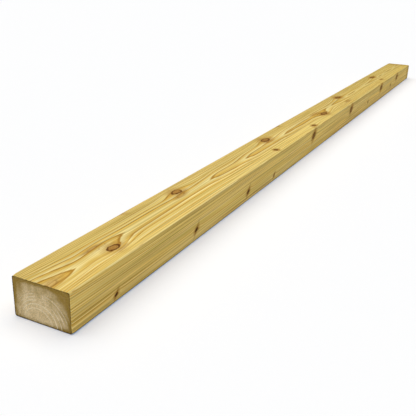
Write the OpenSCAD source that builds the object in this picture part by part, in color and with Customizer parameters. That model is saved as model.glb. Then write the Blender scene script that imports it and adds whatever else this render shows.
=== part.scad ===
// Timber stud: one length of planed softwood, with its four long edges eased
// to a round and its two ends sawn square. It lies flat on a broad face.
// The length runs along X, the width along Y and the thickness along Z.
// The origin is the middle of the underside.

/* [Section] */
// Width of the broad faces, across the stud
stud_width = 70; // [38:1:225]
// Thickness between the broad faces
stud_thickness = 45; // [38:1:100]

/* [Length] */
// Length between the two sawn ends
stud_length = 1800; // [300:100:6000]

/* [Edges] */
// Radius of the four eased long edges
edge_radius = 2; // [1:0.5:12]

/* [Hidden] */
$fn = 64;
stud_colour = [0.80, 0.68, 0.38];

// Distances from the section's centre lines to the middles of the edge rounds
edge_y = stud_width / 2 - edge_radius;
edge_z = stud_thickness / 2 - edge_radius;

// Section of the stud, centred: a rectangle with four true quarter rounds.
module eased_section() {
    square([2 * edge_y, stud_thickness], center = true);
    square([stud_width, 2 * edge_z], center = true);
    for (side = [-1, 1], level = [-1, 1])
        translate([side * edge_y, level * edge_z])
            circle(r = edge_radius);
}

// The whole stud: the section drawn out along X between the sawn ends.
module stud() {
    color(stud_colour)
        translate([-stud_length / 2, 0, stud_thickness / 2])
            rotate([90, 0, 90])
                linear_extrude(height = stud_length)
                    eased_section();
}

stud();
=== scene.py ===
"""Timber stud: one planed length of pressure-treated pine, lying flat on a white studio floor.

The wood is grown before it is cut. A model of the tree gives every point its growth ring and its
nearest branch, and the stud's surface is cut through that model, so the grain, the knots and the
end grain agree on all sides. The same fields shape the mesh's relief and colour its materials.
Lengths are in metres, apart from the tables in millimetres.
"""

import math
from collections import namedtuple

import bpy
import numpy as np
from mathutils import Matrix, Vector


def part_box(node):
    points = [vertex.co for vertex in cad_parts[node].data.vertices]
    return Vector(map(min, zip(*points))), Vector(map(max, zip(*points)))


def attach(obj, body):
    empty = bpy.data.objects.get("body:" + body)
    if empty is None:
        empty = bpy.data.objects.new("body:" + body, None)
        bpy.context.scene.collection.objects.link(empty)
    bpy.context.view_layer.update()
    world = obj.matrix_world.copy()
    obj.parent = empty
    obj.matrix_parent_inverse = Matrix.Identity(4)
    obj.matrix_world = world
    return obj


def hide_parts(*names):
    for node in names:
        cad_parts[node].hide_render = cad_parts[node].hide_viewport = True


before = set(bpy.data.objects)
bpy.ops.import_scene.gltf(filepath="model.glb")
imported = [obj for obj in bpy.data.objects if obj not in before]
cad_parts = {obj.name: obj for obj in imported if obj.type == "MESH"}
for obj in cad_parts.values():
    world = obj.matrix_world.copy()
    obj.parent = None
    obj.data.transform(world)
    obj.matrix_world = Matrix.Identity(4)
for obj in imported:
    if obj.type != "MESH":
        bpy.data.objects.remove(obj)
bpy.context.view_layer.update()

MM = 0.001

# The stud's size, from the frame
LOW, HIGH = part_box("stud")
LENGTH, WIDTH, THICKNESS = HIGH - LOW
CAD_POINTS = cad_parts["stud"].data.vertices
EDGE_RADIUS = HIGH.y - max(v.co.y for v in CAD_POINTS if v.co.z < LOW.z + MM / 100)
SECTION_HALF = np.array([WIDTH, THICKNESS]) / 2
SECTION_CENTRE = np.array([LOW.y + HIGH.y, LOW.z + HIGH.z]) / 2

# The camera, at the photograph's viewing angle
CAMERA_AT = Vector((-1.2667, -0.3488, 0.3157))
CAMERA_AIM = Vector((-0.5981, -0.0218, 0.0223))
CAMERA_ROLL = math.radians(2.02)
CAMERA_LENS = 51.6
CAMERA_SENSOR = 36.0

# The light: a faint even surround and a broad soft lamp overhead, a little from behind
SURROUND = 0.15
KEY_SHARE = 0.85
KEY_FROM = Vector((-0.02, 0.12, 1.0)).normalized()
KEY_SPREAD = math.radians(85)

# The floor: the paper that lights the stud, and how the camera sees it
FLOOR_SIZE = 60.0
FLOOR_PAPER = (0.91, 0.91, 0.91)
FLOOR_SEEN = (0.98, 0.90, 0.77)
FLOOR_WHITE = (0.986, 0.989, 0.994)
FLOOR_GLOW_SHARE = 0.08

# The tree: rings are circles whose centres drift along y as the tree grows. They lie about a pitch
# apart, wider and narrower by turns.
PITH_Y, PITH_Z = 9.5 * MM, -1 * MM
RING_DRIFT = -0.22
RING_PITCH = 1.35 * MM
RING_SWELL, RING_SWELL_RUN = 1.1 * MM, 5.3 * MM
TOP_RADIUS = THICKNESS - PITH_Z

# The rings' crest on the upper face: (mm along the stud, mm across it, ring number). The grain makes
# a pointed arch wherever the number passes a whole one. Away from the crest its lean dies out, so the
# rings crowd together on the side that it leans to.
CREST = (
    (-900, -7.5, 33.0), (-860, -8.8, 34.0), (-845, -8.5, 34.35), (-825, -6.5, 34.4), (-802, -4, 34.45),
    (-786, -2, 34.7), (-766, -0.8, 35.0), (-745, -0.6, 35.12), (-640, -0.6, 35.25), (-575, 0, 35.15),
    (-547, 0, 35.0), (-520, 0, 34.6), (-453, -1.7, 34.4), (-427, -1.7, 34.0), (-398, -1.7, 33.6),
    (-278, 0, 33.4), (-252, 0, 33.0), (-225, 0, 32.75), (-140, 0, 32.65), (-50, 0, 32.75),
    (26, 0, 33.0), (60, 0, 33.05), (130, 0, 32.5), (205, 0, 32.03), (225, 0, 31.93),
    (275, 0, 31.93), (300, 0, 32.05), (345, 0, 32.15), (383, 0, 32.02), (405, 0, 31.94),
    (440, 0, 31.9), (475, 0, 31.6), (540, 0, 31.35), (568, 0, 31.03), (585, 0, 30.93),
    (612, 0, 30.93), (632, 0, 31.05), (732, 0, 30.8), (800, 0, 31.1), (900, 0, 30.6),
)

# How far the table's corners are rounded off, in mm, and over how many samples; the ridge along the
# crest, in rings and metres; how far across its lean reaches; and the ring that its waves start from
CREST_BLUR, CREST_SAMPLES = 10, 11
CREST_RISE, CREST_WIDTH = 0.3, 5 * MM
CREST_REACH = 20 * MM
CREST_BASE = 33.5

# Knots: the face they come out on, where along the stud and across that face, their length
# and width in mm, how many rings bend round them, and how dark they are. Those on the narrow faces
# slant along the stud.
Knot = namedtuple("Knot", "face x across length width eye tone")
KNOTS = (
    Knot("top", -897, -9, 22, 7, 0.0, 0.0),
    Knot("top", -816, 4, 18, 4, 0.0, 0.0),
    Knot("top", -802, -12.5, 17, 9.5, 0.85, 0.2),
    Knot("top", -629, 3, 18, 4, 0.0, 0.0),
    Knot("top", -619, 15, 20, 11, 0.9, 0.2),
    Knot("top", -352, -24, 9, 5, 0.7, 0.6),
    Knot("top", -307, 4, 18, 4, 0.0, 0.0),
    Knot("top", -304, 14, 26, 12, 0.9, 0.3),
    Knot("top", -146, -25, 13, 5, 0.7, 0.5),
    Knot("top", -48, 4, 26, 5, 0.0, 0.0),
    Knot("top", -28, -10, 26, 10, 1.1, 0.4),
    Knot("top", 140, -18, 22, 5, 0.3, 0.0),
    Knot("top", 169, 13.5, 26, 10, 0.9, 0.5),
    Knot("top", 525, -18, 16, 5, 0.5, 0.2),
    Knot("top", 545, 12.5, 30, 9, 0.9, 0.5),
    Knot("front", -829, 8.5, 5, 4, 0.5, 0.9),
    Knot("front", -655, 15, 7, 5, 0.5, 0.9),
    Knot("front", -490, 14.5, 8, 5.5, 0.5, 0.9),
    Knot("front", -382, 10.5, 6, 5, 0.4, 0.2),
    Knot("front", -172, 31, 15, 9, 0.8, 0.6),
    Knot("front", 115, 30.5, 17, 9, 0.8, 0.5),
    Knot("front", 294, 19.5, 8, 4, 0.5, 0.2),
    Knot("front", 450, 33, 20, 9, 0.8, 0.5),
    Knot("front", 590, 21, 10, 5, 0.5, 0.2),
    Knot("front", 682, 32, 20, 9, 0.8, 0.4),
    Knot("back", -730, 26, 11, 10, 1.0, 0.6),
    Knot("back", -478, 14, 6, 7, 0.8, 0.9),
    Knot("back", -205, 31, 10, 10, 1.0, 0.6),
    Knot("back", 118, 20, 7, 8, 0.8, 0.8),
    Knot("back", 412, 29, 11, 10, 1.0, 0.5),
    Knot("back", 690, 17, 8, 8, 0.8, 0.7),
)
KNOT_SLANT = {"top": 0.0, "front": 0.7, "back": -0.7}

# Round a knot: how far the rings dip and the grain parts, counted in half lengths and half widths of
# the knot; from which share of the branch both are in full; the least share of its width that the
# branch tapers to at the pith; and the distance that stands for no knot
EYE_LENGTH, EYE_WIDTH = 3.2, 1.9
FLOW_LENGTH, FLOW_REACH = 2.2, 3.5
FULL_FROM = 0.5
LEAST_TAPER = 0.1
NO_KNOT = 50.0

# The mesh: rows along the stud, closer together at knots, and steps round its section
ROWS, ROW_SAMPLES = 480, 20000
ROW_COARSE, ROW_FINE, ROW_SPREAD = 5.5 * MM, 1.8 * MM, 13 * MM
WIDTH_STEPS, THICKNESS_STEPS, HALF_ROUND_STEPS = 46, 28, 3
SHARP_ANGLE = math.radians(28)

# Wear at the ends: the break of their arrises, the radius that the corners wear to, and over what run
ARRIS = 0.4 * MM
END_RADIUS, END_WEAR_RUN = 4 * MM, 2.5 * MM

# Relief of the surface, each from its lowest to its highest
KNOT_RELIEF = 0.25 * MM
RING_RELIEF = 0.06 * MM
WAVE_RELIEF = 0.16 * MM
SAW_RELIEF = 0.24 * MM

# The groove round a knot, with the knot's rim at 1 and its height as 1; the runs of the waves of
# planing, and how much they skew; and the pitch, slope and curve of the saw's marks
GROOVE_AT, GROOVE_WIDTH, GROOVE_DEPTH = 1.15, 0.2, 0.5
WAVE_RUNS, WAVE_SKEWS = (37 * MM, 91 * MM), (40.0, 60.0)
SAW_PITCH, SAW_SLOPE, SAW_CURVE = 3.1 * MM, 0.5, 4.0

# The map for baking: its margin, the height of each strip and the length of a strip
MAP_MARGIN, MAP_STRIP = 0.01, 0.435
MAP_RUN = 0.97

# Colours of the wood
STRAW = (0.79, 0.59, 0.164)
PALE = (0.90, 0.765, 0.35)
HONEY = (0.68, 0.39, 0.058)
OLIVE = (0.49, 0.36, 0.075)
LATEWOOD = (0.33, 0.145, 0.017)
TREATED = (0.44, 0.27, 0.04)
RESIN = (0.44, 0.21, 0.03)
KNOT_PALE = (0.60, 0.32, 0.075)
KNOT_HEART = (0.33, 0.145, 0.025)
KNOT_RIM = (0.13, 0.048, 0.010)
KNOT_DARK = (0.048, 0.020, 0.004)
END_LIGHT = (1.0, 0.90, 0.68)
END_PALE = (0.86, 0.69, 0.405)
END_TAN = (0.75, 0.58, 0.305)
END_DARK = (0.48, 0.34, 0.15)
END_STAIN = (0.32, 0.20, 0.028)

# Across a ring, from its inner edge to its outer: how pale it is, how honey-coloured, and where
# its dark latewood line lies. On sawn ends, where a thin pale arc lies across ARC_RINGS rings.
PALE_STOPS = ((0.0, 0.2), (0.08, 1.0), (0.30, 0.7), (0.55, 0.0))
HONEY_STOPS = ((0.0, 0.15), (0.06, 0.0), (0.45, 0.2), (0.9, 1.0), (1.0, 0.7))
LINE_STOPS = ((0.0, 0.45), (0.05, 0.0), (0.76, 0.0), (0.91, 1.0), (1.0, 0.75))
ARC_STOPS = ((0.0, 0.4), (0.08, 0.0), (0.74, 0.0), (0.88, 1.0), (1.0, 0.7))
ARC_RINGS = 3.0

# Noise: how many of its cells lie in a metre along the stud, across it and up
BEND_CELLS = (7, 90, 90)
RAGGED_CELLS = (24, 700, 700)
FIBRE_CELLS = (6, 760, 760)
SOAKED_CELLS = (9, 110, 110)
KNOT_CELLS = (190, 190, 190)
SPECK_CELLS = (700, 700, 700)
BLOTCH_CELLS = (130, 130, 130)

# How far noise moves the border of the soaked end, a place in a knot and the stain of a sawn end
SOAKED_SWING = 60 * MM
KNOT_SWING = (0.9, 0.7, 0.0)
STAIN_SWING = 0.6

# Masks of noise: its cells and detail, the noise at a patch's border and in its middle, and the mask
# there. RINGS_SHOW counts its cells along the stud and from ring to ring.
Patches = namedtuple("Patches", "cells detail border middle low high", defaults=(0.0, 1.0))
RINGS_SHOW = Patches((2.6, 5.7, 1), 1.0, 0.42, 0.60, 0.1)
WARM = Patches((1.7, 15, 15), 2.0, 0.35, 0.68)
BRIGHT = Patches((2.5, 250, 250), 2.0, 0.50, 0.72)
DULL = Patches((3.5, 310, 330), 2.0, 0.52, 0.72)
STREAKS = Patches((30, 420, 420), 2.0, 0.42, 0.68)
ARCS_SHOW = Patches((75, 75, 75), 1.0, 0.38, 0.62, 0.1)
TORN = Patches((420, 420, 420), 2.0, 0.36, 0.56, 0.25, 0.85)

# The rings of a knot's heart: how close together they lie, and their contrast
HEART_RINGS, HEART_CONTRAST = 16.0, 0.3

# Bump: its depth on each kind of face, and the shares of lines and fibres in it. How much they shine.
PLANED_BUMP, SAWN_BUMP = 0.12 * MM, 0.25 * MM
PLANED_LINE_BUMP, PLANED_FIBRE_BUMP, SAWN_LINE_BUMP = 0.45, 0.35, 0.4
PLANED_SPECULAR, SAWN_SPECULAR = 0.035, 0.2

# All the values below are smooth steps: where each starts and ends and, unless it goes from 0 to 1,
# its numbers there.
#
# Rings that always show, by the place across the stud
MIDDLE_RINGS = (22 * MM, 9 * MM)
BACK_RINGS = (10 * MM, 30 * MM, 0.0, 0.75)

# Parts of the stud, by the place along it and by height
NEAR_PART = (-0.4, -0.8, 0.0, 0.2)
NEAR_WARM = (34 * MM, 6 * MM)
FAR_PART = (-0.5, 0.6)
FAR_DULL = (20 * MM, 45 * MM, 0.08, 0.36)
FAR_PALE = (45 * MM, 40 * MM, 0.0, 0.12)
SOAKED_END = (HIGH.x - 50 * MM, HIGH.x)

# The long edges, by the distance from the section's corner and by height: a painted highlight on
# the upper rounds, a painted shade line under them and a painted contact shadow on the lower rounds
EDGE_REACH = (2.9 * MM, 1.1 * MM)
EDGE_HIGHLIGHT = (HIGH.z - 1.2 * MM, HIGH.z - 0.2 * MM, 0.0, 0.4)
SHADE_LINE_BELOW = (HIGH.z - 0.7 * MM, HIGH.z - 1.7 * MM)
SHADE_LINE_ABOVE = (HIGH.z - 5 * MM, HIGH.z - 2.5 * MM)
LOW_EDGE_SHADOW = (12 * MM, 6 * MM)

# A knot, by the distance from its middle with its rim at 1, and by its tone
HEART = (1.05, 0.85)
RIM_INSIDE, RIM_OUTSIDE = (0.60, 0.85), (1.20, 0.95)
STAIN = (2.8, 1.0)
FLARE_WIDTH, FLARE_REACH = (1.2, 0.1), (5.2, 0.8)
TONE_STAIN = (0.0, 0.6, 0.4, 0.7)
TONE_FIRM = (0.0, 0.1, 0.25, 1.0)

# A sawn end's stain, by height, across to each side and in from the outline, and all of it together
STAIN_UP = (12 * MM, 46 * MM, 0.0, 0.55)
STAIN_FRONT = (0.0, -38 * MM, 0.0, 0.66)
STAIN_BACK = (13 * MM, 36 * MM, 0.0, 0.50)
STAIN_RIM = (7 * MM, 0.2 * MM, 0.0, 0.65)
STAIN_SUM = (0.0, 1.1)

# A sawn end's pale arcs, by ring number, its blotches, the shadow painted along its foot and the torn
# fibres at its edge
ARCS_INSIDE, ARCS_OUTSIDE = (8, 14, 0.1, 1.0), (29, 22, 0.1, 1.0)
END_BLOTCHES = (0.35, 0.65)
FOOT_PAINTED_SHADOW = (1.6 * MM, 0.2 * MM, 1.0, 0.3)
TORN_RIM = (2.2 * MM, 0.8 * MM)

# Shade and roughness, by the noise of the fibres and specks and by the place across the stud
FIBRE_SHADE, FIBRE_ROUGHNESS = (0.28, 0.72, 0.80, 1.16), (0.2, 0.8, 0.66, 0.80)
SPECK_SHADE, SPECK_ROUGHNESS = (0.25, 0.75, 0.75, 1.22), (0.2, 0.8, 0.75, 0.92)
ACROSS_SHADE = (LOW.y, HIGH.y, 1.07, 0.93)

# Growing the tree

def crest(x):
    """Where the rings' crest lies across the upper face, and its ring number, with rounded corners."""
    at, across, rings = np.array(CREST).T
    places = np.add.outer(np.linspace(-CREST_BLUR, CREST_BLUR, CREST_SAMPLES), x / MM)
    return [np.interp(places, at, column).mean(axis=0) for column in (across * MM, rings)]


def ring_number(x, y, z):
    """How many rings lie between a point and the pith; the whole part changes at each latewood line.

    The crest's lean and its waves belong to the upper face, and die away below it.
    """
    crest_y, crest_rings = crest(x)
    height = z / THICKNESS
    lean = (crest_y - PITH_Y - RING_DRIFT * TOP_RADIUS) * height**4
    lean *= np.exp(-(((y - crest_y) / CREST_REACH) ** 2))
    y, z = y - PITH_Y - lean, z - PITH_Z

    # The one circle through the point, from the distance to its drifting centre
    ahead = y * RING_DRIFT
    rest = 1 - RING_DRIFT**2
    radius = (np.sqrt(ahead**2 + rest * (y**2 + z**2)) - ahead) / rest

    # Its number, with a ridge along the crest
    aside = y - RING_DRIFT * radius
    ridge = CREST_RISE * (1 - np.exp(-np.abs(aside) / CREST_WIDTH)) * (radius / TOP_RADIUS) ** 3
    swell = RING_SWELL * (np.sin(radius / RING_SWELL_RUN) - np.sin(TOP_RADIUS / RING_SWELL_RUN))
    wave = (crest_rings - CREST_BASE) * height**2
    return (radius + swell - TOP_RADIUS) / RING_PITCH + ridge + wave + CREST_BASE


def surface_point(knot):
    """Where a knot comes out of the stud's section, as (y, z)."""
    across = knot.across * MM
    return {
        "top": (across, HIGH.z),
        "front": (LOW.y, across),
        "back": (HIGH.y, across),
    }[knot.face]


def grow(points):
    """The wood at each point: its ring, its place along and across the grain, and its nearest knot.

    A knot is a branch that widens from the pith to the surface. Its own coordinates, along the
    stud and across, are 1 at its rim. Near it the grain parts and the rings dip.
    """
    x, y, z = points.T
    count = len(x)
    nearest = np.zeros((count, 3))
    nearest[:, 2] = NO_KNOT
    tone, dip = np.zeros(count), np.zeros(count)
    grain = points.copy()
    for knot in KNOTS:
        # The branch's way out from the pith, and each point's place in it
        out_y, out_z = np.subtract(surface_point(knot), (PITH_Y, PITH_Z))
        reach = math.hypot(out_y, out_z)
        out_y, out_z = out_y / reach, out_z / reach
        half_length, half_width = knot.length / 2 * MM, knot.width / 2 * MM
        depth = ((y - PITH_Y) * out_y + (z - PITH_Z) * out_z) / reach
        across = ((z - PITH_Z) * out_y - (y - PITH_Y) * out_z) / half_width
        along = (x - knot.x * MM + KNOT_SLANT[knot.face] * half_width * across) / half_length

        # How the grain parts and the rings dip round it
        inside = np.clip(depth / FULL_FROM, 0, 1)
        parting = np.exp(-((along / FLOW_LENGTH) ** 2 + across**2) / FLOW_REACH)
        shift = parting * inside * min(knot.eye, 1) * across * half_width
        if knot.face == "top":
            grain[:, 1] += shift * out_z
        else:
            grain[:, 2] -= shift * out_y
        dip += knot.eye * np.exp(-(along / EYE_LENGTH) ** 2 - (across / EYE_WIDTH) ** 2) * inside

        # The points that have no nearer branch so far
        taper = np.clip(depth, LEAST_TAPER, None)
        distance = np.where(depth > 0, np.hypot(along, across) / taper, NO_KNOT)
        nearer = distance < nearest[:, 2]
        place = np.stack([along / taper, across / taper, distance], axis=1)
        nearest[nearer] = place[nearer]
        tone[nearer] = knot.tone
    rings = ring_number(*grain.T) - dip
    return {"rings": rings, "grain": grain, "knot": nearest, "knot_tone": tone}


# Cutting the stud's mesh

def section_side(run, out, half_run, half_out, steps):
    """One side of the section, from the middle of one eased edge to just short of the next's.

    run and out are the side's directions in the section. Gives its points and their outward ways.
    """
    rise = np.linspace(-math.pi / 4, 0, HALF_ROUND_STEPS, endpoint=False)
    fall = np.linspace(0, math.pi / 4, HALF_ROUND_STEPS, endpoint=False)
    flat = np.linspace(EDGE_RADIUS - half_run, half_run - EDGE_RADIUS, steps, endpoint=False)
    turn = np.concatenate([rise, np.zeros(steps), fall])
    start = np.concatenate([np.full(len(rise), flat[0]), flat, np.full(len(fall), -flat[0])])
    ways = np.outer(np.cos(turn), out) + np.outer(np.sin(turn), run)
    middle = np.outer(start, run) + np.outer(np.full(len(turn), half_out - EDGE_RADIUS), out)
    return middle + EDGE_RADIUS * ways, ways


def section_sides():
    """The section's four sides in order: underside, back, top and front."""
    half_w, half_t = SECTION_HALF
    sides = [
        section_side((1, 0), (0, -1), half_w, half_t, WIDTH_STEPS),
        section_side((0, 1), (1, 0), half_t, half_w, THICKNESS_STEPS),
        section_side((-1, 0), (0, 1), half_w, half_t, WIDTH_STEPS),
        section_side((0, -1), (-1, 0), half_t, half_w, THICKNESS_STEPS),
    ]
    return [(points + SECTION_CENTRE, ways) for points, ways in sides]


def row_places():
    """Where the mesh's rows lie along the stud: close together at knots, and at the worn arrises."""
    x = np.linspace(LOW.x + ARRIS, HIGH.x - ARRIS, ROW_SAMPLES)
    fine = sum(np.exp(-(((x - knot.x * MM) / ROW_SPREAD) ** 2)) for knot in KNOTS)
    density = 1 / ROW_COARSE + np.minimum(fine, 1) * (1 / ROW_FINE - 1 / ROW_COARSE)
    rows_passed = np.cumsum(density)
    rows_passed = (rows_passed - rows_passed[0]) / (rows_passed[-1] - rows_passed[0])
    inner = np.interp(np.linspace(0, 1, ROWS - 2), rows_passed, x)
    return np.concatenate([[LOW.x], inner, [HIGH.x]])


def past_corners(points):
    """How far points of the section lie past the corners that END_RADIUS is struck from, as (y, z)."""
    return np.abs(points - SECTION_CENTRE) - (SECTION_HALF - END_RADIUS)


def worn_ends(around, rows):
    """The outline of each row, with the corners knocked rounder towards the ends."""
    past = np.maximum(past_corners(around), 0)
    reach = np.linalg.norm(past, axis=-1, keepdims=True)
    excess = np.maximum(reach - END_RADIUS, 0)
    from_end = np.minimum(rows - LOW.x, HIGH.x - rows)
    wear = np.exp(-((from_end / END_WEAR_RUN) ** 2))[:, None, None]
    return around - wear * excess * np.sign(around - SECTION_CENTRE) * past / np.maximum(reach, ARRIS)


def coons_patch(bottom, right, top, left):
    """A grid that fills four boundary runs: bottom and top run one way, left and right the other."""
    s = np.linspace(0, 1, len(bottom))[:, None, None]
    t = np.linspace(0, 1, len(left))[None, :, None]
    ruled = (1 - t) * bottom[:, None] + t * top[:, None] + (1 - s) * left[None] + s * right[None]
    corners = (1 - s) * ((1 - t) * bottom[0] + t * top[0]) + s * ((1 - t) * bottom[-1] + t * top[-1])
    return ruled - corners


def end_runs(ring, counts):
    """Splits a closed ring of points or numbers into the four runs of an end face's grid."""
    closed = np.concatenate([ring, ring[:1]])
    a, b, c, d = np.cumsum([0, *counts[:3]])
    bottom, right = closed[a:b + 1], closed[b:c + 1]
    top, left = closed[c:d + 1][::-1], closed[d:][::-1]
    return bottom, right, top, left


def end_grid(ring_points, ring_numbers, counts, first_new):
    """An end face's grid: each point's vertex number, and the places of the new inner points."""
    bottom, right, top, left = end_runs(ring_numbers, counts)
    numbers = np.empty((len(bottom), len(left)), int)
    numbers[:, 0], numbers[:, -1] = bottom, top
    numbers[0, :], numbers[-1, :] = left, right
    inner = coons_patch(*end_runs(ring_points, counts))[1:-1, 1:-1]
    new = np.arange(first_new, first_new + inner.shape[0] * inner.shape[1])
    numbers[1:-1, 1:-1] = new.reshape(inner.shape[:2])
    return numbers, inner.reshape(-1, 2)


def grid_quads(numbers):
    """The faces of a grid of vertex numbers."""
    corners = (numbers[:-1, :-1], numbers[1:, :-1], numbers[1:, 1:], numbers[:-1, 1:])
    return np.stack(corners, axis=-1).reshape(-1, 4)


def stud_shape():
    """The stud's smooth mesh: points, outward ways, faces, and which faces are end grain."""
    sides = section_sides()
    counts = [len(points) for points, _ in sides]
    outline = np.concatenate([points for points, _ in sides])
    ways = np.concatenate([way for _, way in sides])
    rows = row_places()
    steps = len(outline)

    # The long faces, row by row
    inset = np.zeros(ROWS)
    inset[[0, -1]] = ARRIS
    around = worn_ends(outline[None] - inset[:, None, None] * ways[None], rows)
    along = np.broadcast_to(rows[:, None, None], (ROWS, steps, 1))
    points = [np.concatenate([along, around], axis=-1).reshape(-1, 3)]
    outward = [np.tile(np.column_stack([np.zeros(steps), ways]), (ROWS, 1))]
    numbers = np.arange(ROWS * steps).reshape(ROWS, steps)
    wrapped = np.concatenate([numbers, numbers[:, :1]], axis=1)
    faces = [grid_quads(wrapped.T)]

    # The two ends, which share their outline with the outermost rows
    for row, facing in ((0, -1), (-1, 1)):
        first_new = sum(len(p) for p in points)
        grid, inner = end_grid(around[row], numbers[row], counts, first_new)
        points.append(np.column_stack([np.full(len(inner), rows[row]), inner]))
        outward.append(np.tile((facing, 0.0, 0.0), (len(inner), 1)))
        faces.append(grid_quads(grid if facing > 0 else grid[::-1]))

    end_grain = np.repeat((False, True), (len(faces[0]), len(faces[1]) + len(faces[2])))
    return np.concatenate(points), np.concatenate(outward), np.concatenate(faces), end_grain


def arris_distance(points):
    """How far a point of the section lies from the nearest corner of the section's box."""
    return np.linalg.norm(np.abs(points[:, 1:] - SECTION_CENTRE) - SECTION_HALF, axis=1)


def outline_depth(points):
    """How far a point of an end lies inside the end's outline."""
    past = past_corners(points[:, 1:])
    outside = np.linalg.norm(np.maximum(past, 0), axis=1)
    return END_RADIUS - outside - np.minimum(past.max(axis=1), 0)


def relief(points, outward, wood):
    """How far each point stands off the smooth shape, always inwards.

    Latewood and knots stand proud of the planed faces and their shallow waves, a groove runs round
    each knot, and the saw leaves curved marks on the ends.
    """
    x, y, z = points.T
    distance = wood["knot"][:, 2]
    groove = GROOVE_DEPTH * np.exp(-(((distance - GROOVE_AT) / GROOVE_WIDTH) ** 2))
    dome = np.exp(-(distance**4)) - groove
    lines = 0.5 - 0.5 * np.cos(2 * math.pi * wood["rings"])
    short_wave = np.sin(x / WAVE_RUNS[0] + WAVE_SKEWS[0] * y)
    long_wave = np.sin(x / WAVE_RUNS[1] + WAVE_SKEWS[1] * z)
    waves = 0.5 + 0.5 * short_wave * long_wave
    planed = KNOT_RELIEF * (dome - 1) + RING_RELIEF * (lines - 1) + WAVE_RELIEF * (waves - 1)
    sweep = z + SAW_SLOPE * y + SAW_CURVE * y**2
    kerf = 0.5 + 0.5 * np.sin(2 * math.pi * sweep / SAW_PITCH)
    sawn = SAW_RELIEF * (kerf - 1) + RING_RELIEF * (lines - 1)
    is_end = np.abs(outward[:, 0]) > 0.5
    return np.where(is_end, sawn, planed)[:, None] * outward


def bake_map(points, faces, end_grain):
    """Each face corner's place on the map for baking: the long faces in two strips, then the ends."""
    sides = section_sides()
    outline = np.concatenate([side for side, _ in sides])
    steps = np.linalg.norm(np.roll(outline, -1, axis=0) - outline, axis=1)
    perimeter = steps.sum()
    girth = np.tile(np.concatenate([[0], np.cumsum(steps)[:-1]]), ROWS)
    corners = points[faces]
    places = np.empty((len(faces), 4, 2))

    # The long faces: half the length along each strip and the whole girth up it
    long_faces = ~end_grain
    across = girth[faces[long_faces]]
    before_seam = across < across.max(axis=1, keepdims=True) - perimeter / 2
    across = (across + perimeter * before_seam) / perimeter
    along = corners[long_faces][:, :, 0]
    far_half = along.mean(axis=1, keepdims=True) > 0
    along = (along - np.where(far_half, 0, LOW.x)) / (LENGTH / 2)
    places[long_faces, :, 0] = MAP_MARGIN + MAP_RUN * along
    places[long_faces, :, 1] = MAP_MARGIN + MAP_STRIP * far_half + (MAP_STRIP - MAP_MARGIN) * across

    # The two ends, above the strips
    ends = corners[end_grain]
    far_end = ends[:, :, 0].mean(axis=1, keepdims=True) > 0
    scale = (1 - 2 * MAP_STRIP - 2 * MAP_MARGIN) / THICKNESS
    places[end_grain, :, 0] = MAP_MARGIN + far_end / 2 + (ends[:, :, 1] - LOW.y) * scale
    places[end_grain, :, 1] = MAP_MARGIN + 2 * MAP_STRIP + (ends[:, :, 2] - LOW.z) * scale
    return places


def add_attribute(mesh, name, values):
    """Writes one number or vector for each vertex."""
    kind, field = ("FLOAT", "value") if values.ndim == 1 else ("FLOAT_VECTOR", "vector")
    mesh.attributes.new(name, kind, "POINT").data.foreach_set(field, values.astype(np.float32).ravel())


def new_object(name, data):
    """An object that is put into the scene."""
    made = bpy.data.objects.new(name, data)
    bpy.context.scene.collection.objects.link(made)
    return made


def make_stud():
    """The stud as one dense mesh, with its wood stored on its points and one material a kind of face."""
    points, outward, faces, end_grain = stud_shape()
    wood = grow(points)
    mesh = bpy.data.meshes.new("stud_wood")
    mesh.from_pydata((points + relief(points, outward, wood)).tolist(), [], faces.tolist())
    for name, values in wood.items():
        add_attribute(mesh, name, values)
    add_attribute(mesh, "inset", outline_depth(points))
    add_attribute(mesh, "arris", arris_distance(points))
    places = mesh.uv_layers.new(name="OFBake")
    places.uv.foreach_set("vector", bake_map(points, faces, end_grain).astype(np.float32).ravel())
    mesh.materials.append(planed_pine())
    mesh.materials.append(sawn_end())
    mesh.polygons.foreach_set("material_index", end_grain.astype(np.int32))
    mesh.polygons.foreach_set("use_smooth", np.ones(len(faces), bool))
    mesh.set_sharp_from_angle(angle=SHARP_ANGLE)
    mesh.update()
    return new_object("stud_wood", mesh)


# Materials

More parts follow.
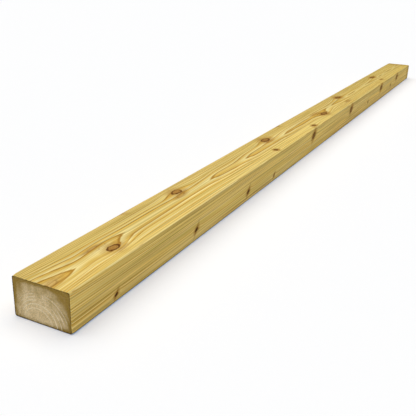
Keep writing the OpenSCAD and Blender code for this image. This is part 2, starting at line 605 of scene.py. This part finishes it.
class Recipe:
    """One material, made step by step: each step gives a socket that later steps can take in."""

    def __init__(self, name):
        self.material = bpy.data.materials.new(name)
        self.material.use_nodes = True
        self.tree = self.material.node_tree
        self.tree.nodes.clear()

    def node(self, kind, inputs, **settings):
        """A node with its settings, and its inputs given as numbers, colours or sockets."""
        made = self.tree.nodes.new("ShaderNode" + kind)
        for name, value in settings.items():
            setattr(made, name, value)
        for name, value in inputs.items():
            if isinstance(value, bpy.types.NodeSocket):
                self.tree.links.new(value, made.inputs[name])
            else:
                made.inputs[name].default_value = value
        return made

    def attribute(self, name, output="Fac"):
        """A number or a vector that the mesh holds."""
        return self.node("Attribute", {}, attribute_name=name).outputs[output]

    def parts(self, vector):
        """A vector's X, Y and Z."""
        return self.node("SeparateXYZ", {0: vector}).outputs

    def vector(self, operation, a, b, c=(0.0, 0.0, 0.0)):
        """One step of arithmetic on vectors."""
        return self.node("VectorMath", {0: a, 1: b, 2: c}, operation=operation).outputs[0]

    def math(self, operation, a, b=0.0, c=0.0):
        """One step of arithmetic on numbers."""
        return self.node("Math", {0: a, 1: b, 2: c}, operation=operation).outputs[0]

    def fold(self, operation, first, *others):
        """The same step of arithmetic over any count of numbers."""
        for other in others:
            first = self.math(operation, first, other)
        return first

    def product(self, *factors):
        """All the factors multiplied."""
        return self.fold("MULTIPLY", *factors)

    def noise(self, vector, cells, detail=2.0, roughness=0.5, output="Fac"):
        """Smooth noise about one half. cells is how many of its cells lie in a metre along each axis."""
        inputs = {"Vector": self.vector("MULTIPLY", vector, cells), "Scale": 1.0}
        inputs |= {"Detail": detail, "Roughness": roughness}
        return self.node("TexNoise", inputs).outputs[output]

    def swing(self, noise, amount):
        """Noise made to swing about zero."""
        return self.math("MULTIPLY_ADD", noise, amount, -amount / 2)

    def step(self, value, start, end, low=0.0, high=1.0):
        """A smooth change from low to high as the value goes from start to end."""
        inputs = {"Value": value, "From Min": start, "From Max": end, "To Min": low, "To Max": high}
        return self.node("MapRange", inputs, interpolation_type="SMOOTHSTEP").outputs["Result"]

    def patches(self, vector, kind):
        """A mask of noise, of one of the kinds of patches."""
        noise = self.noise(vector, kind.cells, kind.detail)
        return self.step(noise, kind.border, kind.middle, kind.low, kind.high)

    def profile(self, value, stops):
        """A number read off straight lines between (place, number) stops."""
        ramp = self.node("ValToRGB", {"Fac": value})
        elements = ramp.color_ramp.elements
        while len(elements) < len(stops):
            elements.new(0.5)
        for element, (place, number) in zip(elements, stops):
            element.position = place
            element.color = (number, number, number, 1.0)
        return ramp.outputs["Color"]

    def colour(self, value):
        """A colour as a socket takes it in."""
        return value if isinstance(value, bpy.types.NodeSocket) else (*value, 1.0)

    def mix(self, factor, a, b):
        """From colour a to colour b."""
        inputs = {0: factor, 6: self.colour(a), 7: self.colour(b)}
        return self.node("Mix", inputs, data_type="RGBA").outputs[2]

    def layered(self, colour, *layers):
        """A colour under layers of (mask, share, colour), laid on in that order."""
        for mask, share, layer in layers:
            colour = self.mix(self.product(mask, share), colour, layer)
        return colour

    def shade(self, colour, value):
        """The colour made lighter or darker."""
        return self.node("HueSaturation", {"Color": colour, "Value": value}).outputs["Color"]

    def darken(self, colour, *masks):
        """The colour made darker by the product of the masks."""
        return self.shade(colour, self.math("SUBTRACT", 1.0, self.product(*masks)))

    def finish(self, colour, roughness, height, depth, specular):
        """Ends the recipe with a surface whose bump is height times depth."""
        bump = self.node("Bump", {"Height": height, "Distance": depth, "Strength": 1.0})
        inputs = {"Base Color": colour, "Roughness": roughness, "Normal": bump.outputs["Normal"]}
        surface = self.node("BsdfPrincipled", {**inputs, "Specular IOR Level": specular})
        self.node("OutputMaterial", {"Surface": surface.outputs["BSDF"]})
        return self.material


def growth_rings(recipe, grain, bend, ragged):
    """The ring number, made a little uneven, and how strongly each ring shows at a point.

    Some rings show less than others, but all show in the middle of the broad faces, where they make
    arches, and most of them towards the back.
    """
    rings = recipe.attribute("rings")
    for cells, amount in ((BEND_CELLS, bend), (RAGGED_CELLS, ragged)):
        rings = recipe.math("ADD", rings, recipe.swing(recipe.noise(grain, cells, detail=3.0), amount))
    along, across, _ = recipe.parts(grain)
    ring_place = recipe.node("CombineXYZ", {"X": along, "Y": recipe.math("FLOOR", rings)}).outputs[0]
    some = recipe.patches(ring_place, RINGS_SHOW)
    middle = recipe.step(recipe.math("ABSOLUTE", across), *MIDDLE_RINGS)
    back = recipe.step(across, *BACK_RINGS)
    return rings, recipe.fold("MAXIMUM", some, middle, back)


def ringed_wood(recipe, grain):
    """The colour of the rings and of the streaks between them, and where the latewood lines lie."""
    rings, strength = growth_rings(recipe, grain, bend=0.35, ragged=0.2)
    through = recipe.math("FRACT", rings)
    pale, honey, line = [
        recipe.product(recipe.profile(through, stops), strength)
        for stops in (PALE_STOPS, HONEY_STOPS, LINE_STOPS)
    ]
    wood = recipe.layered(
        STRAW,
        (recipe.patches(grain, WARM), 0.4, HONEY),
        (pale, 0.8, PALE),
        (honey, 0.95, HONEY),
        (recipe.patches(grain, BRIGHT), 0.5, PALE),
        (recipe.patches(grain, DULL), 0.55, OLIVE),
        (line, 0.75, LATEWOOD),
    )
    return wood, line


def treated_wood(recipe, grain, wood):
    """The wood as the treatment changed it from one end to the other.

    The near part is warmer low down. The far part is duller on top and a little paler on the narrow
    faces, and the far end is soaked darker.
    """
    along, _, up = recipe.parts(grain)
    far = recipe.step(along, *FAR_PART)
    uneven = recipe.math("ADD", along, recipe.swing(recipe.noise(grain, SOAKED_CELLS), SOAKED_SWING))
    return recipe.layered(
        wood,
        (recipe.step(along, *NEAR_PART), recipe.step(up, *NEAR_WARM), HONEY),
        (far, recipe.step(up, *FAR_DULL), OLIVE),
        (far, recipe.step(up, *FAR_PALE), PALE),
        (recipe.step(uneven, *SOAKED_END), 0.75, TREATED),
    )


def painted_edge_light(recipe, up, wood):
    """The long edges with painted light: a painted highlight above, a painted shade line under it, and a
    painted contact shadow below.
    """
    edge = recipe.step(recipe.attribute("arris"), *EDGE_REACH)
    # A painted highlight on the upper rounds
    wood = recipe.layered(wood, (edge, recipe.step(up, *EDGE_HIGHLIGHT), PALE))
    # A painted shade line just under the upper rounds
    wood = recipe.darken(wood, recipe.step(up, *SHADE_LINE_ABOVE), recipe.step(up, *SHADE_LINE_BELOW), 0.16)
    # A painted contact shadow on the lower rounds
    return recipe.darken(wood, edge, recipe.step(up, *LOW_EDGE_SHADOW), 0.75)


def uneven_knot(recipe, grain):
    """The place in the nearest knot, made uneven, and the distance from its middle: 1 at its rim."""
    place = recipe.attribute("knot", "Vector")
    noise = recipe.noise(grain, KNOT_CELLS, detail=3.0, output="Color")
    about_zero = recipe.vector("SUBTRACT", noise, (0.5, 0.5, 0.5))
    uneven = recipe.vector("MULTIPLY_ADD", about_zero, KNOT_SWING, place)
    flat = recipe.vector("MULTIPLY", uneven, (1.0, 1.0, 0.0))
    near = recipe.node("VectorMath", {0: flat}, operation="LENGTH").outputs["Value"]
    # Between two knots the place jumps through zero, so the mesh's own distance sets the least
    least = recipe.math("SUBTRACT", recipe.parts(place)["Z"], 1.0)
    return uneven, recipe.math("MAXIMUM", near, least)


def add_knots(recipe, grain, wood):
    """The wood with its knots: a ringed heart in a dark rim, and a stain that runs out along the grain.

    The darker ones also have a flare across the grain. Those without a tone are only faint blotches.
    """
    tone = recipe.attribute("knot_tone")
    place, distance = uneven_knot(recipe, grain)
    heart_rings = recipe.math("SINE", recipe.product(distance, HEART_RINGS))
    heart_rings = recipe.math("MULTIPLY_ADD", heart_rings, HEART_CONTRAST, HEART_CONTRAST)
    heart = recipe.mix(heart_rings, KNOT_PALE, KNOT_HEART)
    heart = recipe.mix(tone, heart, KNOT_DARK)
    rim = recipe.product(recipe.step(distance, *RIM_INSIDE), recipe.step(distance, *RIM_OUTSIDE))
    firm = recipe.step(tone, *TONE_FIRM)
    stain = recipe.step(distance, *STAIN)
    streaks = recipe.product(stain, recipe.patches(grain, STREAKS))
    beside = recipe.math("ABSOLUTE", recipe.parts(place)["X"])
    flare = recipe.product(recipe.step(beside, *FLARE_WIDTH), recipe.step(distance, *FLARE_REACH), tone)
    return recipe.layered(
        wood,
        (stain, recipe.step(tone, *TONE_STAIN), RESIN),
        (streaks, 0.6, KNOT_HEART),
        (flare, 0.75, KNOT_HEART),
        (recipe.step(distance, *HEART), firm, heart),
        (recipe.product(rim, firm), 0.95, KNOT_RIM),
    )


def planed_pine():
    """Planed faces: pale earlywood, honey latewood with brown lines, fine fibres, and knots."""
    recipe = Recipe("planed_pine")
    grain = recipe.attribute("grain", "Vector")
    _, across, up = recipe.parts(grain)
    fibre = recipe.noise(grain, FIBRE_CELLS, roughness=0.6)
    wood, line = ringed_wood(recipe, grain)
    wood = treated_wood(recipe, grain, wood)
    wood = recipe.shade(wood, recipe.step(fibre, *FIBRE_SHADE))
    wood = recipe.shade(wood, recipe.step(across, *ACROSS_SHADE))
    wood = painted_edge_light(recipe, up, wood)
    colour = add_knots(recipe, grain, wood)
    roughness = recipe.step(fibre, *FIBRE_ROUGHNESS)
    lines, fibres = recipe.product(line, PLANED_LINE_BUMP), recipe.product(fibre, PLANED_FIBRE_BUMP)
    height = recipe.math("ADD", lines, fibres)
    return recipe.finish(colour, roughness, height, PLANED_BUMP, PLANED_SPECULAR)


def sawn_end():
    """Sawn ends: tan end grain with pale arcs and specks, stained round the heart, torn at the edge,
    with a painted contact shadow along the foot.
    """
    recipe = Recipe("sawn_end")
    grain = recipe.attribute("grain", "Vector")
    inset = recipe.attribute("inset")
    _, across, up = recipe.parts(grain)
    speck = recipe.noise(grain, SPECK_CELLS, detail=3.0, roughness=0.65)
    blotch = recipe.noise(grain, BLOTCH_CELLS, detail=3.0)

    rings, strength = growth_rings(recipe, grain, bend=0.4, ragged=0.06)
    line = recipe.product(recipe.profile(recipe.math("FRACT", rings), LINE_STOPS), strength)
    arc = recipe.profile(recipe.math("FRACT", recipe.math("DIVIDE", rings, ARC_RINGS)), ARC_STOPS)
    belt = recipe.product(recipe.step(rings, *ARCS_INSIDE), recipe.step(rings, *ARCS_OUTSIDE))
    arcs = recipe.product(arc, recipe.patches(grain, ARCS_SHOW), belt)
    stain = recipe.fold(
        "ADD",
        recipe.step(up, *STAIN_UP),
        recipe.step(across, *STAIN_FRONT),
        recipe.step(across, *STAIN_BACK),
        recipe.step(inset, *STAIN_RIM),
        recipe.swing(blotch, STAIN_SWING),
    )
    tan = recipe.mix(recipe.step(blotch, *END_BLOTCHES), END_PALE, END_TAN)
    colour = recipe.layered(
        tan,
        (line, 0.35, END_DARK),
        (recipe.step(stain, *STAIN_SUM), 0.97, END_STAIN),
        (arcs, 0.7, END_LIGHT),
    )

    colour = recipe.shade(colour, recipe.step(speck, *SPECK_SHADE))
    # A painted contact shadow along the foot, where the end meets the floor
    colour = recipe.shade(colour, recipe.step(up, *FOOT_PAINTED_SHADOW))
    colour = recipe.darken(colour, recipe.patches(grain, TORN), recipe.step(inset, *TORN_RIM))
    roughness = recipe.step(speck, *SPECK_ROUGHNESS)
    height = recipe.math("ADD", speck, recipe.product(line, SAWN_LINE_BUMP))
    return recipe.finish(colour, roughness, height, SAWN_BUMP, SAWN_SPECULAR)


# The studio

def make_floor():
    """A floor that looks white and keeps the stud's shadow.

    To the camera and in reflections its paper is warm, so that the wood's yellow light leaves the
    shadow grey, and a faint glow, which lights nothing, makes up the white.
    """
    recipe = Recipe("white_floor")
    path = recipe.node("LightPath", {}).outputs
    seen_by = [path[f"Is {kind} Ray"] for kind in ("Camera", "Glossy", "Transmission")]
    rays = recipe.fold("MAXIMUM", *seen_by)
    lit = [part * (1 - FLOOR_GLOW_SHARE) for part in FLOOR_SEEN]
    glow = [(white - part) / FLOOR_GLOW_SHARE for white, part in zip(FLOOR_WHITE, lit)]
    paper = recipe.node("BsdfDiffuse", {"Color": recipe.colour(FLOOR_PAPER)}).outputs[0]
    warm = recipe.node("BsdfDiffuse", {"Color": recipe.colour(FLOOR_SEEN)}).outputs[0]
    white = recipe.node("Emission", {"Color": recipe.colour(glow)}).outputs[0]
    seen = recipe.node("MixShader", {0: FLOOR_GLOW_SHARE, 1: warm, 2: white}).outputs[0]
    shown = recipe.node("MixShader", {0: rays, 1: paper, 2: seen}).outputs[0]
    recipe.node("OutputMaterial", {"Surface": shown})
    half = FLOOR_SIZE / 2
    corners = [(-half, -half, 0), (half, -half, 0), (half, half, 0), (-half, half, 0)]
    mesh = bpy.data.meshes.new("floor")
    mesh.from_pydata(corners, [], [(0, 1, 2, 3)])
    mesh.materials.append(recipe.material)
    floor = new_object("floor", mesh)


def make_light():
    """An even surround, white to the camera, and a broad lamp. Together they light a level face at 1."""
    world = bpy.data.worlds.new("surround")
    world.use_nodes = True
    tree = world.node_tree
    background = tree.nodes["Background"]
    path = tree.nodes.new("ShaderNodeLightPath")
    brightness = tree.nodes.new("ShaderNodeMapRange")
    brightness.inputs["To Min"].default_value = SURROUND
    tree.links.new(path.outputs["Is Camera Ray"], brightness.inputs["Value"])
    tree.links.new(brightness.outputs["Result"], background.inputs["Strength"])
    background.inputs["Color"].default_value = (1.0, 1.0, 1.0, 1.0)
    bpy.context.scene.world = world

    lamp = bpy.data.lights.new("key", "SUN")
    lamp.energy = KEY_SHARE * math.pi / KEY_FROM.z
    lamp.angle = KEY_SPREAD
    key = new_object("key", lamp)
    key.rotation_euler = KEY_FROM.to_track_quat("Z", "Y").to_euler()


def make_camera():
    """The camera where the photograph was taken from, with its slight roll."""
    lens = bpy.data.cameras.new("camera")
    lens.lens = CAMERA_LENS
    lens.sensor_width = CAMERA_SENSOR
    lens.clip_start = 10 * MM
    lens.clip_end = 2 * FLOOR_SIZE
    camera = new_object("camera", lens)
    turn = (CAMERA_AIM - CAMERA_AT).to_track_quat("-Z", "Y").to_matrix().to_4x4()
    camera.matrix_world = Matrix.Translation(CAMERA_AT) @ turn @ Matrix.Rotation(CAMERA_ROLL, 4, "Z")
    bpy.context.scene.camera = camera


bpy.context.scene.view_settings.view_transform = "Standard"
make_camera()
make_light()
make_floor()

stud_wood = make_stud()
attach(stud_wood, "root")
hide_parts("stud")
